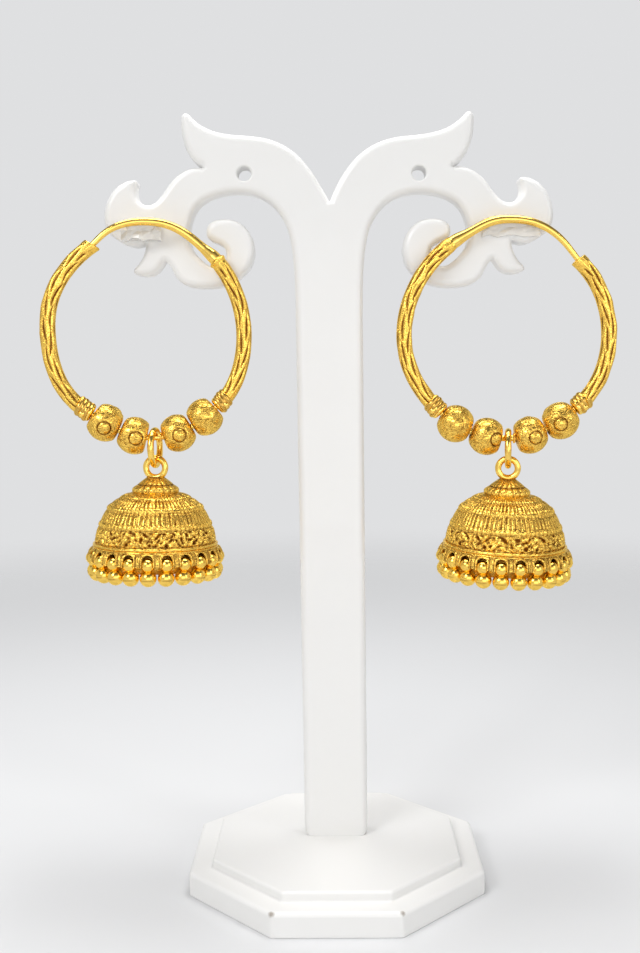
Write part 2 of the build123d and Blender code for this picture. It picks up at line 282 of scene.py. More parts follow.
goldLooks = {
    "tubeGold": {"bright": (1.0, 0.64, 0.12), "deep": (0.15, 0.035, 0.002),
                 "polish": 0.1, "grain": 900.0, "marks": 0.45, "relief": 0.04},
    "wireGold": {"bright": (1.0, 0.67, 0.15), "deep": (0.25, 0.07, 0.005),
                 "polish": 0.07, "grain": 700.0, "marks": 0.2, "relief": 0.02},
    "beadGold": {"bright": (1.0, 0.64, 0.12), "deep": (0.17, 0.045, 0.003),
                 "polish": 0.11, "grain": 1100.0, "marks": 0.8, "relief": 0.07},
    "bellGold": {"bright": (1.0, 0.64, 0.12), "deep": (0.14, 0.033, 0.002),
                 "polish": 0.11, "grain": 1300.0, "marks": 0.7, "relief": 0.06},
    "ballGold": {"bright": (1.0, 0.66, 0.13), "deep": (0.16, 0.04, 0.002),
                 "polish": 0.07, "grain": 900.0, "marks": 0.25, "relief": 0.02},
}


plasticValues = {
    "flowScale": 42.0, "flowTone": 0.35, "flowRoughness": 0.12, "flowHeight": 3.0,
    "skinScale": 1600.0, "skinHeight": 0.25, "relief": 0.02,
    "stainColour": (0.3, 0.25, 0.2, 1), "stainRagged": 0.8, "stainMost": 0.85,
    "inner": 0.08, "innerReach": (0.003, 0.003, 0.0028), "coat": 0.15,
}


def plasticMaterial(name, stains, values):
    # White moulded plastic: faint flow marks in tone and gloss, a very fine skin. A stain is a small dark
    # spot round its place, which fades out over its size.
    tree, given, out = newGroup(name + "Skin", {
        "Tone": (0.89, 0.885, 0.87, 1), "Shade": (0.83, 0.82, 0.8, 1), "Gloss": 0.28})
    plus, minus, times, larger, smaller = sums(tree)
    place = tree.nodes.new("ShaderNodeTexCoord").outputs["Object"]
    flow, skin = (noiseNode(tree, place, values[label]) for label in ("flowScale", "skinScale"))
    colour = mixColour(tree, times(flow, values["flowTone"]), given.outputs["Tone"], given.outputs["Shade"])
    for spot, size, strength in stains:
        away = tree.nodes.new("ShaderNodeVectorMath")
        away.operation = "DISTANCE"
        away.inputs[1].default_value = Vector(spot) * mm
        tree.links.new(place, away.inputs[0])
        far = mathNode(tree, "DIVIDE", away.outputs["Value"], size * mm)
        ragged = plus(far, times(minus(skin, 0.5), values["stainRagged"]))
        share = smaller(times(larger(minus(1.0, ragged), 0.0), strength), values["stainMost"])
        colour = mixColour(tree, share, colour, values["stainColour"])
    tree.links.new(colour, out.inputs["Color"])
    rough = plus(given.outputs["Gloss"], times(flow, values["flowRoughness"]))
    tree.links.new(rough, out.inputs["Roughness"])
    height = plus(times(flow, values["flowHeight"]), times(skin, values["skinHeight"]))
    tree.links.new(height, out.inputs["Height"])
    material, _, _, shader = newMaterial(name)
    placeGroup(material, tree, values["relief"])
    setInputs(shader, {"Subsurface Weight": values["inner"], "Subsurface Radius": values["innerReach"],
                       "Coat Weight": values["coat"]})
    return material


def tapeMaterial(values):
    # Clear tape folded on itself: milky where it is creased, glossy, with a faint warm cast.
    material, nodes, links, shader = newMaterial("crumpledTape")
    plus, _, times, _, _ = sums(material.node_tree)
    place = nodes.new("ShaderNodeTexCoord").outputs["Object"]
    crease = noiseNode(material.node_tree, place, values["creaseScale"], 3.0)
    tint = mixColour(material.node_tree, crease, values["clear"], values["milky"])
    links.new(tint, shader.inputs["Base Color"])
    links.new(plus(values["smoothest"], times(crease, values["creaseRoughness"])), shader.inputs["Roughness"])
    setInputs(shader, {"Alpha": values["alpha"], "Coat Weight": values["coat"]})
    addBump(material, crease, values["relief"])
    return material


def splineThrough(points, shares, ends=None):
    # Cubic pieces between the points, with each piece as long as its chord. The slope at an end is that of
    # the cubic through the four points there. shares run from 0 at the first point to 1 at the last.
    p = np.array(points, float)
    t = np.append(0, np.cumsum(np.linalg.norm(np.diff(p, axis=0), axis=1)))
    k = min(4, len(p))
    if ends is None:
        ends = np.polyfit(t[:k], p[:k], k - 1)[-2], np.polyfit(t[-k:] - t[-1], p[-k:], k - 1)[-2]
    gap = np.diff(t)
    rise = np.diff(p, axis=0) / gap[:, None]
    a, b, i = np.eye(len(p)), np.zeros_like(p), np.arange(1, len(p) - 1)
    b[0], b[-1] = ends
    a[i, i - 1], a[i, i], a[i, i + 1] = gap[1:], 2 * (gap[:-1] + gap[1:]), gap[:-1]
    b[i] = 3 * (gap[1:, None] * rise[:-1] + gap[:-1, None] * rise[1:])
    slope = np.linalg.solve(a, b)
    s = np.atleast_1d(shares) * t[-1]
    j = np.clip(np.searchsorted(t, s, "right") - 1, 0, len(gap) - 1)
    h, u = gap[j, None], ((s - t[j]) / gap[j])[:, None]
    return ((1 + 2 * u) * (1 - u) ** 2 * p[j] + u * (1 - u) ** 2 * h * slope[j]
            + u * u * (3 - 2 * u) * p[j + 1] - u * u * (1 - u) * h * slope[j + 1])


def runOf(path):
    return np.append(0, np.cumsum(np.linalg.norm(np.diff(path, axis=0), axis=1)))


def evenly(path, step):
    # The same line again in equal steps of about that length.
    run = runOf(path)
    at = np.linspace(0, run[-1], max(3, int(round(run[-1] / step)) + 1))
    return np.stack([np.interp(at, run, path[:, k]) for k in range(path.shape[1])], 1)


def aroundCircle(count):
    return np.linspace(0, 2 * pi, count, endpoint=False)


def spun(radius, angle, height):
    # A point of a surface round the upright axis: radius (cos angle, sin angle), height.
    return np.stack(np.broadcast_arrays(radius * np.cos(angle), radius * np.sin(angle), height), -1)


def towards(angle, out, front):
    # The direction cos(angle) * out + sin(angle) * front.
    return np.cos(angle)[..., None] * out + np.sin(angle)[..., None] * front


def moved(x, y, z):
    m = np.eye(4)
    m[:3, 3] = x, y, z
    return m


def turned(axis, angle):
    return np.array(Matrix.Rotation(radians(angle), 4, axis))


def placed(points, where):
    return points @ where[:3, :3].T + where[:3, 3]


def ringed(centres, radius, angles, out, front):
    # centre + radius * the direction at that angle, for every row's centre and every angle
    return centres[:, None] + radius[..., None] * towards(angles[None], out[:, None], front[:, None])


def hoopFrame(path):
    # For a line in the hoop's plane: its points, outward direction, front direction and tangent in space.
    tangent = np.gradient(path, axis=0)
    tangent /= np.linalg.norm(tangent, axis=1)[:, None]
    out = np.stack([tangent[:, 1], 0 * tangent[:, 0], -tangent[:, 0]], 1)
    middle = len(path) // 2
    out *= np.sign(out[middle, 0] * path[middle, 0] + out[middle, 2] * path[middle, 1])
    front = np.tile([0.0, -1.0, 0.0], (len(path), 1))
    space = np.stack([path[:, 0], 0 * path[:, 0], path[:, 1]], 1)
    return space, out, front, np.stack([tangent[:, 0], 0 * tangent[:, 0], tangent[:, 1]], 1)


def gridFaces(rows, cols, closedRows, closedCols):
    r, c = np.arange(rows - (not closedRows)), np.arange(cols - (not closedCols))
    a, b = np.meshgrid(r, c, indexing="ij")
    a2, b2 = (a + 1) % rows, (b + 1) % cols
    return np.stack([a * cols + b, a * cols + b2, a2 * cols + b2, a2 * cols + b], -1).reshape(-1, 4)


def facingOut(points, faces):
    # A closed surface with its faces inwards holds a negative volume: turn it round.
    a, b, c, d = (points[faces[:, k]] for k in range(4))
    volume = np.einsum("ij,ij->", a, np.cross(b, c)) + np.einsum("ij,ij->", a, np.cross(c, d))
    return faces if volume > 0 else faces[:, ::-1]


def gridPart(points, paintedShade=None, closedRows=False, closedCols=True):
    rows, cols = points.shape[:2]
    flat = points.reshape(-1, 3)
    paintedShade = np.zeros(rows * cols) if paintedShade is None else np.broadcast_to(paintedShade, (rows, cols)).reshape(-1)
    return flat, facingOut(flat - flat.mean(0), gridFaces(rows, cols, closedRows, closedCols)), paintedShade


def newPiece(name, mesh, material, smooth=True):
    mesh.polygons.foreach_set("use_smooth", np.full(len(mesh.polygons), smooth))
    mesh.materials.append(material)
    mesh.update()
    return inScene(name, mesh)


def makePiece(name, parts, where, body, node, material, smooth=True):
    starts = np.append(0, np.cumsum([len(p[0]) for p in parts]))
    points = placed(np.concatenate([p[0] for p in parts]), where) * mm
    faces = np.concatenate([p[1] + s for p, s in zip(parts, starts)])
    mesh = bpy.data.meshes.new(name)
    mesh.from_pydata(points, [], faces)
    # each point's painted shade in recesses and hollows, kept as a mesh attribute
    paintedShade = np.concatenate([p[2] for p in parts]).astype(np.float32)
    mesh.attributes.new("paintedShade", "FLOAT", "POINT").data.foreach_set("value", paintedShade)
    work = bmesh.new()  # poles and seams become single points
    work.from_mesh(mesh)
    bmesh.ops.remove_doubles(work, verts=work.verts, dist=weldDistance)
    bmesh.ops.dissolve_degenerate(work, edges=work.edges, dist=1e-8)
    work.to_mesh(mesh)
    work.free()
    piece = newPiece(name, mesh, material, smooth)
    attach(piece, body)
    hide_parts(node)


def torusPart(ringRadius, wire, rows, cols, wobble=0.0):
    # (ring + wire cos b) (cos a, sin a), wire sin b; the wire's size drifts by wobble along the ring
    a, b = np.meshgrid(aroundCircle(rows), aroundCircle(cols), indexing="ij")
    r = wire * (1 - wobble * (0.5 + 0.25 * np.cos(3 * a + 1) + 0.25 * np.cos(7 * a + 2)))
    return gridPart(spun(ringRadius + r * np.cos(b), a, r * np.sin(b)), None, True, True)


def ballParts(centres, radius, rows, cols, seam=None):
    # Balls about each centre: cos v (cos u, sin u), sin v. The seam is a fine groove with painted shade along
    # it, at that share of the height, on the side away from the axis.
    v, u = np.meshgrid(np.linspace(-pi / 2, pi / 2, rows), aroundCircle(cols), indexing="ij")
    shape = spun(np.cos(v), u, np.sin(v))
    parts = []
    for c in np.atleast_2d(centres):
        line = np.zeros(v.shape)
        if seam is not None:
            aside = np.mod(u - np.arctan2(c[1], c[0]) + pi, 2 * pi) - pi
            line = np.exp(-(((np.sin(v) - seam) / 0.05) ** 2)) * np.clip((0.85 - np.abs(aside)) / 0.25, 0, 1)
        parts.append(gridPart(c + radius * shape * (1 - 0.05 * line)[..., None], line))
    return parts


standValues = {
    "frontY": 0.3, "thick": 4.3, "baseTop": 5.4, "postHalf": 5.35, "sunk": 1.3,
    "frontRound": 1.1, "backRound": 0.5, "eyeRound": 0.35, "eyeRadius": 1.15,
    "eyes": [(-13.8, 110.9), (14.5, 110.6)],
    "shift": {1: (-0.1, 0.0), -1: (0.42, 0.32)},
    "step": 0.16, "curlStart": (0.94, -0.34),
}
armStretches = {
    "crest": [(0, 106.3), (2.0, 110.2), (5.4, 114.15), (9.8, 116.25), (15.6, 116.95), (22.2, 120.25)],
    "leafTip": [(22.2, 120.25), (23.0, 120.35), (23.5, 119.6)],
    "leafSide": [(23.5, 119.6), (23.4, 117.2), (22.35, 113.9), (20.0, 111.7)],
    "hump": [(20.0, 111.7), (22.8, 111.35), (25.4, 109.4), (27.4, 106.8), (29.3, 105.85), (30.85, 106.9),
             (31.15, 108.2), (30.85, 109.35)],
    "hookTip": [(30.85, 109.35), (31.0, 109.85), (31.55, 109.9)],
    "lobe": [(31.55, 109.9), (34.2, 108.8), (36.1, 105.8), (36.0, 102.0), (33.95, 100.1), (31.9, 99.3),
             (29.6, 99.8)],
    "finSide": [(29.6, 99.8), (30.0, 98.0), (31.65, 95.7)],
    "finTip": [(31.65, 95.7), (31.8, 95.1), (31.2, 94.7)],
    "finUnder": [(31.2, 94.7), (28.9, 94.65), (26.75, 96.85)],
    "curl": [(26.75, 96.85), (24.7, 94.0), (20.4, 92.4), (15.7, 93.2), (12.5, 96.1), (12.1, 99.8),
             (14.0, 102.7), (17.1, 103.5), (19.5, 102.4), (19.6, 100.6), (18.2, 99.7), (16.8, 98.8),
             (16.7, 97.2), (18.2, 95.8), (20.5, 96.9), (22.3, 99.2), (22.4, 102.6), (20.85, 105.7),
             (17.45, 107.4), (14.2, 107.7), (11.2, 107.1), (8.85, 105.6), (7.1, 103.2), (5.95, 99.3),
             (5.45, 94.0), (5.35, 88.0)],
}


def armOutline(side, values):
    # One arm from the notch round to the post, as its stretches one after another.
    out, up = values["shift"][side]
    line = []
    for name, points in armStretches.items():
        p = np.array(points, float)
        p[:, 0] = np.where(p[:, 0] > 0, side * (p[:, 0] + out), 0)
        p[:, 1] = np.where(np.array(points)[:, 0] > 0, p[:, 1] + up, p[:, 1])
        across, rise = values["curlStart"]
        ends = ((-side * across, rise), (0, -1)) if name == "curl" else None
        line.append(evenly(splineThrough(p, np.linspace(0, 1, 900), ends), values["step"])[:-1])
    return np.concatenate(line)


def plateOutline(values):
    # Clockwise seen from the front: right arm, down the post, across its foot, up and round the left arm.
    right, left = armOutline(1, values), armOutline(-1, values)
    half, under = values["postHalf"], -values["sunk"]
    sides = [np.linspace(arm[-1] - [0, 1], (side * half, under), 60)
             for side, arm in ((1, right), (-1, left))]
    foot = np.linspace((half, under), (-half, under), 9)[1:-1]
    line = np.concatenate([right, sides[0], foot, sides[1][::-1], left[::-1]])
    for _ in range(3):  # points and notches are moulded slightly round
        line = 0.25 * np.roll(line, 1, 0) + 0.5 * line + 0.25 * np.roll(line, -1, 0)
    return line


def inwardOf(line):
    # The direction into the solid at each point, and how far in the middle line between two edges lies:
    # the radius of the largest circle inside that touches the edge there.
    tangent = np.roll(line, -1, 0) - np.roll(line, 1, 0)
    tangent /= np.linalg.norm(tangent, axis=1)[:, None]
    inward = np.stack([tangent[:, 1], -tangent[:, 0]], 1)
    away = line[None, :] - line[:, None]
    ahead = np.einsum("ijk,ik->ij", away, inward)
    square = (away ** 2).sum(-1)
    reach = np.where(ahead > 1e-4, square / np.maximum(2 * ahead, 1e-9), 1e9)
    near = np.abs(np.arange(len(line))[None, :] - np.arange(len(line))[:, None])
    near = np.minimum(near, len(line) - near) < 3
    room = np.where(near, 1e9, reach).min(1)
    # The smallest and then the mean of the points beside it: smooth, and never too large.
    beside = range(-3, 4)
    room = np.minimum(room, 9).tolist()
    room = np.min([np.roll(room, k) for k in beside], 0)
    return inward, np.mean([np.roll(room, k) for k in beside], 0)


def roundedWall(line, values, frontRound, backRound, inward, room):
    # Rings from the front face over the rounded rim, along the wall and round to the back face.
    # A ring lies "inset" inside the outline; its depth follows a quarter circle of that inset.
    lean = np.linspace(0, pi / 2, 8)
    inset = np.concatenate([[frontRound + 0.05], frontRound * (1 - np.sin(lean)), [0, 0],
                            backRound * (1 - np.cos(lean[::2])), [backRound + 0.05]])
    back = np.arange(len(inset)) > 9
    limit = np.minimum(inset[:, None], 0.96 * room[None, :])
    size = np.where(back, backRound, frontRound)[:, None]
    sink = size * (1 - np.sqrt(np.clip(1 - np.clip(1 - limit / size, 0, 1) ** 2, 0, 1)))
    depth = np.where(back[:, None], values["thick"] - sink, sink)
    depth[9], depth[10] = frontRound + 0.02, values["thick"] - backRound - 0.02
    across = line[None] + limit[..., None] * inward[None]
    return np.stack([across[..., 0], values["frontY"] + depth, across[..., 1] + values["baseTop"]], -1)


def makeUpright(values, material):
    line = plateOutline(values)
    if np.sum(line[:, 0] * np.roll(line[:, 1], -1) - np.roll(line[:, 0], -1) * line[:, 1]) > 0:
        line = line[::-1]
    walls = [roundedWall(line, values, values["frontRound"], values["backRound"], *inwardOf(line))]
    ring = spun(1, aroundCircle(48), 0)[:, :2]
    for eye in values["eyes"]:
        rim = np.array(eye) + values["eyeRadius"] * ring
        walls.append(roundedWall(rim, values, values["eyeRound"], values["eyeRound"], ring, np.full(48, 9.0)))
    parts, start, frontLoops, backLoops = [], 0, [], []
    for wall in walls:
        rows, cols = wall.shape[:2]
        parts.append((wall.reshape(-1, 3), gridFaces(rows, cols, False, True), np.zeros(rows * cols)))
        frontLoops.append(np.arange(cols) + start)
        backLoops.append(np.arange(cols) + start + (rows - 1) * cols)
        start += rows * cols
    points = np.concatenate([p[0] for p in parts])
    starts = np.append(0, np.cumsum([len(p[0]) for p in parts]))
    faces = [f for p, s in zip(parts, starts) for f in (p[1] + s).tolist()]
    for loops in (frontLoops, backLoops):
        order = np.concatenate(loops)
        flat = [[Vector((points[i, 0], points[i, 2], 0)) for i in loop] for loop in loops]
        faces += [[int(order[i]) for i in t] for t in geometry.tessellate_polygon(flat)]
    mesh = bpy.data.meshes.new("standUpright")
    mesh.from_pydata(points * mm, [], faces)
    work = bmesh.new()
    work.from_mesh(mesh)
    bmesh.ops.remove_doubles(work, verts=work.verts, dist=weldDistance)
    bmesh.ops.recalc_face_normals(work, faces=work.faces)
    work.to_mesh(mesh)
    work.free()
    piece = newPiece("standUpright", mesh, material)
    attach(piece, "stand")
    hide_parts("stand_upright")


baseValues = {  # rows of the rim: half width across flats, corner rounding, height
    "rims": [(23.78, 0.7, 0.0), (23.86, 0.76, 0.03), (23.9, 0.8, 0.12), (23.9, 0.8, 0.15), (23.9, 0.8, 3.17),
             (23.9, 0.8, 3.2), (23.85, 0.78, 3.47), (23.69, 0.7, 3.7), (23.46, 0.6, 3.85), (23.2, 0.5, 3.9),
             (23.15, 0.5, 3.9), (20.55, 0.8, 3.9), (20.5, 0.8, 3.9), (20.3, 0.8, 3.98), (20.2, 0.8, 4.15),
             (20.2, 0.8, 4.18), (20.2, 0.8, 4.92), (20.2, 0.8, 4.95), (20.14, 0.75, 5.18), (19.98, 0.7, 5.34),
             (19.75, 0.6, 5.4), (19.7, 0.6, 5.4)],
    "stains": [((-9.9, -23.7, 3.8), 0.7, 1.4), ((9.9, -23.7, 3.8), 0.6, 1.2)],  # place, size, strength
}


def octagonRing(half, corner, height):
    # Corner arcs about points on the corners' diagonals; two extra points keep the flats flat.
    turn = np.radians(22.5 + 45 * np.arange(8))[:, None]
    swing = np.radians(np.array([-22.5, -22.5, -15, -7.5, 0, 7.5, 15, 22.5, 22.5]))[None]
    slip = np.array([-0.12, 0, 0, 0, 0, 0, 0, 0, 0.12])[None]
    centre = (half - corner) / cos(radians(22.5))
    x = centre * np.cos(turn) + corner * np.cos(turn + swing) - slip * np.sin(turn + swing)
    y = centre * np.sin(turn) + corner * np.sin(turn + swing) + slip * np.cos(turn + swing)
    return np.stack([x.ravel(), y.ravel(), np.full(x.size, height)], -1)


def makeBase(values, material):
    rows = [octagonRing(*rim) for rim in values["rims"]]
    rows = [rows[0] * [0, 0, 1]] + rows + [rows[-1] * [0, 0, 1]]
    part = gridPart(np.array(rows))
    makePiece("standBase", [part], np.eye(4), "stand", "stand_base", material)


earrings = {
    "left": {
        "centre": (-29.55, -3.0, 90.8), "turn": 8.0,
        "openTube": [(-8.3, 13.9), (-12.0, 10.6), (-15.15, 4.9), (-15.65, -0.7), (-13.75, -8.3)],
        "closedTube": [(11.1, 11.8), (14.15, 6.8), (15.5, 1.0), (15.05, -4.8), (13.45, -9.0)],
        "earWire": [(11.1, 11.8), (9.5, 13.25), (7.2, 15.2), (4.0, 17.0), (0.4, 17.6), (-3.85, 17.05),
                    (-6.2, 15.85)],
        "bottom": (1.05, -16.85), "tilt": 2.4, "sagRadius": 12.6, "sagAngle": 37.0, "run": 3.4,
        "beadStep": 5.08, "beadGap": 6.95, "bailShift": -0.25, "bailTurn": -14.0, "bailRoom": (2.0, 2.45),
        "bellLean": 1.3, "bellNod": -1.0, "loopHeight": 12.85, "fringePhase": 0.0,
        "rings": [(0.3, -0.85), (0.7, -0.35), (0.7, -0.25), None], "ringStrength": (1, 1, 1, 1),
        "pad": (-3.9, 2.6), "strand": (0.36, 0.62, 0.3), "shoulder": 0.2, "mouthSlant": 0.5, "seed": 3,
    },
    "right": {
        "centre": (28.4, -1.15, 90.0), "turn": 0.0,
        "openTube": [(11.5, 11.7), (15.05, 6.85), (16.55, 1.0), (16.05, -4.7), (14.2, -8.95)],
        "closedTube": [(-8.45, 14.8), (-12.3, 11.3), (-14.9, 7.2), (-16.5, 1.0), (-15.9, -4.5),
                       (-13.95, -8.6)],
        "earWire": [(-8.45, 14.8), (-6.2, 16.1), (-1.9, 18.05), (1.0, 18.25), (3.7, 17.9), (6.6, 16.7),
                    (9.35, 14.4)],
        "bottom": (0.36, -16.92), "tilt": 1.0, "sagRadius": 15.2, "sagAngle": 41.5, "run": 1.4,
        "beadStep": 5.5, "beadGap": 7.0, "bailShift": 0.0, "bailTurn": -9.0, "bailRoom": (2.3, 2.3),
        "bellLean": 2.0, "bellNod": 2.0, "loopHeight": 13.1, "fringePhase": 6.0,
        "rings": [(-0.1, -0.1), (1.4, -0.45), (0.6, -0.3), (-0.55, -0.5)], "ringStrength": (0.35, 1, 1, 1),
        "pad": (-3.9, 5.6), "strand": (0.16, 0.4, 0.42), "shoulder": 0.0, "mouthSlant": 0.2, "seed": 8,
    },
}
hoopValues = {
    "tubeRadius": 1.28, "mouthBore": 0.85, "mouthDepth": 0.17, "beadWire": 0.5, "seated": 1.4,
    "taper": [(0, 1.1), (0.07, 1.05), (0.13, 0.8), (0.18, 0.72), (0.4, 0.66), (0.7, 0.55), (1, 0.43)],
    "collarLine": 1.08, "collarWire": 0.55, "collarTurns": 3.0, "collarPitch": 1.15, "looseEnd": 0.22,
    "footRing": 0.98, "footWire": 0.5, "footRise": 0.2, "lump": 0.6, "lumpPlace": (1.25, 0.9, 1.1),
    "stopRing": 0.68, "stopWire": 0.19, "stopPlace": 0.96,
    "tubeStep": 0.125, "tubeSides": 84, "facetDepth": 0.014, "hairDepth": 0.03,
    "cutRows": 7, "cutTurn": 0.26, "cutPitch": 4.2, "cutSlip": 0.35, "firstCut": 1.6, "lastCut": 1.2,
    "cutHalfLength": 2.35, "cutHalfWidth": 0.48, "cutSlant": 5.0, "cutDepth": 0.22,
}
beadValues = {
    "radius": 3.05, "bore": 0.88, "play": 0.1, "collarLip": 0.58, "corner": 0.5, "rows": 88, "cols": 132,
    "ringLine": 1.14, "ringWidth": 0.13, "ringDepth": 0.17, "dot": 0.86, "dotRise": 0.13,
    "veinScale": 2.2, "veinDepth": 0.045, "veinShade": 0.5,
}
linkValues = {"bailRing": 2.82, "bailWire": 0.55, "loopRing": 1.58, "loopWire": 0.53, "gap": 0.08}


def sagPoint(e, along):
    # A point of the sagging wire at that angle from its lowest point.
    x, z = e["bottom"]
    r, tilt = e["sagRadius"], radians(e["tilt"])
    a = np.radians(along) + tilt
    return np.stack([x - r * sin(tilt) + r * np.sin(a), z + r * cos(tilt) - r * np.cos(a)], -1)


def beadWireLine(e, reach):
    # The arc with a straight run at both ends, from left to right.
    arc = sagPoint(e, np.linspace(-e["sagAngle"], e["sagAngle"], 90))
    first, last = (np.radians(e["tilt"] + k * e["sagAngle"]) for k in (-1, 1))
    steps = np.linspace(1, 0, 9)[:-1, None] * reach
    left = arc[0] - steps * [cos(first), sin(first)]
    right = arc[-1] + steps[::-1] * [cos(last), sin(last)]
    return np.concatenate([left, arc, right])


def tubeLine(e, name):
    ends = beadWireLine(e, e["run"])[[0, -1]]
    foot = ends[0] if e[name][0][0] < 0 else ends[1]
    return e[name] + [tuple(foot)]


def engravedTube(e, name, values, mouth, seed):
    # A round tube with rows of slanting leaf-shaped cuts. A cut is a groove whose depth falls straight
    # from its middle line to its edge, and whose width narrows with the square of the way to its ends.
    path = evenly(splineThrough(tubeLine(e, name), np.linspace(0, 1, 900)), values["tubeStep"])
    space, out, front, tangent = hoopFrame(path)
    run = runOf(path)
    angles = aroundCircle(values["tubeSides"])
    s, a = np.meshgrid(run, angles, indexing="ij")
    drift = np.random.default_rng(seed)
    groove = np.zeros(s.shape)
    for row in range(values["cutRows"]):
        middle = row * 2 * pi / values["cutRows"] + values["cutTurn"]
        first = values["firstCut"] + (row % 2) * values["cutPitch"] / 2
        starts = np.arange(first, run[-1] - values["lastCut"], values["cutPitch"])
        starts = starts + drift.uniform(-values["cutSlip"], values["cutSlip"], len(starts))
        slants = np.radians(values["cutSlant"] * (1 if row % 2 else -1) + drift.uniform(-6, 6, len(starts)))
        near = np.abs(s[..., None] - starts).argmin(-1)
        along = s - starts[near]
        across = values["tubeRadius"] * (np.mod(a - middle + pi, 2 * pi) - pi)
        slant = slants[near]
        u = along * np.cos(slant) + across * np.sin(slant)
        bow = 0.07 * u ** 2 * drift.uniform(-1, 1, len(starts))[near]
        v = across * np.cos(slant) - along * np.sin(slant) - bow
        half = values["cutHalfWidth"] * np.clip(1 - (u / values["cutHalfLength"]) ** 2, 0.0001, 1)
        half = half * drift.uniform(0.75, 1.15, len(starts))[near]
        groove = np.maximum(groove, np.clip(1 - np.abs(v) / half, 0, 1))
    fade = (np.clip((run - 0.9) / 1.2, 0, 1) * np.clip((run[-1] - 1.4 - run) / 0.9, 0, 1))[:, None]
    groove *= fade
    # fine drawn lines along the tube: thin dips where slow waves cross zero
    slow = np.sin(9 * a + 1.3 * np.sin(0.9 * s + seed) + 0.8 * np.sin(0.37 * s))
    hair = np.exp(-((slow / 0.2) ** 2)) * (0.5 + 0.5 * np.sin(1.7 * s + 5 * a)) * fade
    facet = values["facetDepth"] * (1 - np.cos(values["cutRows"] * 2 * (a - values["cutTurn"])))
    radius = values["tubeRadius"] - facet - values["cutDepth"] * groove - values["hairDepth"] * hair
    # painted shade in the cuts and along the fine drawn lines
    shadeMask = np.maximum(np.clip((groove - 0.42) / 0.4, 0, 1) ** 0.9 * 0.95, 0.4 * hair)
    if mouth:  # the bore, cut back at a slant so that the inner lip stands forward
        deep = int(values["mouthDepth"] * len(path))
        slope = e["mouthSlant"] * np.exp(-run / 0.7)[:, None] * -np.cos(a)
        rows = space[:, None] - tangent[:, None] * slope[..., None]
        body = rows + radius[..., None] * towards(a, out[:, None], front[:, None])
        bore = values["mouthBore"]
        # place along the tube, radius, way forward
        lip = [(0, values["tubeRadius"] - 0.07, -0.05), (0, bore + 0.13, -0.09), (0, bore + 0.03, -0.04),
               (2, bore, 0.0), (deep, bore, 0.0), (deep, 0.0, 0.0)]
        inner = []
        for at, r, forward in lip:
            centre = space[at] + tangent[at] * (forward - (slope[at][:, None] if at < 3 else 0))
            inner.append(centre + r * towards(angles, out[at], front[at]))
        points = np.concatenate([np.array(inner)[::-1], body])
        # painted shade inside the bore, darkest deep in and fading out towards the lip
        shadeMask = np.concatenate([np.array([1, 1, 0.9, 0.4, 0, 0])[:, None] + 0 * a[:6], shadeMask])
    else:
        swell = 1 - 0.28 * np.exp(-run / 0.45) + e["shoulder"] * np.exp(-(((run - 0.55) / 0.3) ** 2))
        points = ringed(space, radius * swell[:, None], angles, out, front)
        points = np.concatenate([0 * points[:1] + space[0] - 0.1 * tangent[0], points])
        shadeMask = np.concatenate([0 * shadeMask[:1], shadeMask])
    points = np.concatenate([points, 0 * points[:1] + space[-1]])
    return gridPart(points, np.concatenate([shadeMask, 0 * shadeMask[:1]]))


def wirePart(path, radius, cols=24, offset=0.0):
    # A wire along a line in the hoop's plane, closed to a point at both ends.
    space, out, front, _ = hoopFrame(path)
    space = space + np.broadcast_to(offset, len(path))[:, None] * out
    size = np.broadcast_to(radius, len(path))[:, None] * np.ones(cols)
    points = ringed(space, size, aroundCircle(cols), out, front)
    return gridPart(np.concatenate([0 * points[:1] + space[0], points, 0 * points[:1] + space[-1]]))


def collarPart(e, name, values, seed):
    # A ring and a helix of wire round the tube's foot, rising about half a wire's width a turn, with a loose
    # end and a solder lump.
    line = splineThrough(tubeLine(e, name), np.array([0.955, 0.97, 0.985, 1.0]))
    space, out, front, tangent = hoopFrame(line)
    start, axis = space[-1] + 0.12 * tangent[-1], -tangent[1]
    turn = np.linspace(0, 2 * pi * values["collarTurns"], 190)
    around = aroundCircle(12)
    loose = np.exp(-(((turn[-1] - turn) / 0.5) ** 2)) * values["looseEnd"]
    ring = values["collarLine"] + loose + 0.07 * np.sin(turn * 1.37 + seed) + 0.03 * np.sin(turn * 4.1)
    rise = values["collarPitch"] * values["collarWire"] * turn / (2 * pi) + 0.22
    rise = rise + 0.05 * np.sin(turn * 0.9 + 2 * seed)
    away = towards(turn + seed, out[-1], front[-1])
    centre = start + ring[:, None] * away + rise[:, None] * axis
    # both ends are domes
    ending = np.clip((np.abs(turn - turn[-1] / 2) - (turn[-1] / 2 - 0.18)) / 0.18, 0, 1)
    size = values["collarWire"] * np.sqrt(1 - ending ** 2)[:, None] * np.ones(12)
    helix = ringed(centre, size, around, away, np.broadcast_to(axis, away.shape))
    away = towards(aroundCircle(48), out[-1], front[-1])
    centre = start + values["footRing"] * away + values["footRise"] * axis
    size = np.full((48, 12), values["footWire"])
    foot = ringed(centre, size, around, away, np.broadcast_to(axis, away.shape))
    aside, angle, high = values["lumpPlace"]
    lump = start + aside * towards(angle, out[-1], front[-1]) + high * axis
    # painted shade, strongest on the outer face of the helix wire
    shadeMask = (1 + np.cos(around))[None] ** 3 / 16
    wires = [gridPart(helix, shadeMask), gridPart(foot, None, True, True)]
    return wires + ballParts([lump], values["lump"], 10, 14)


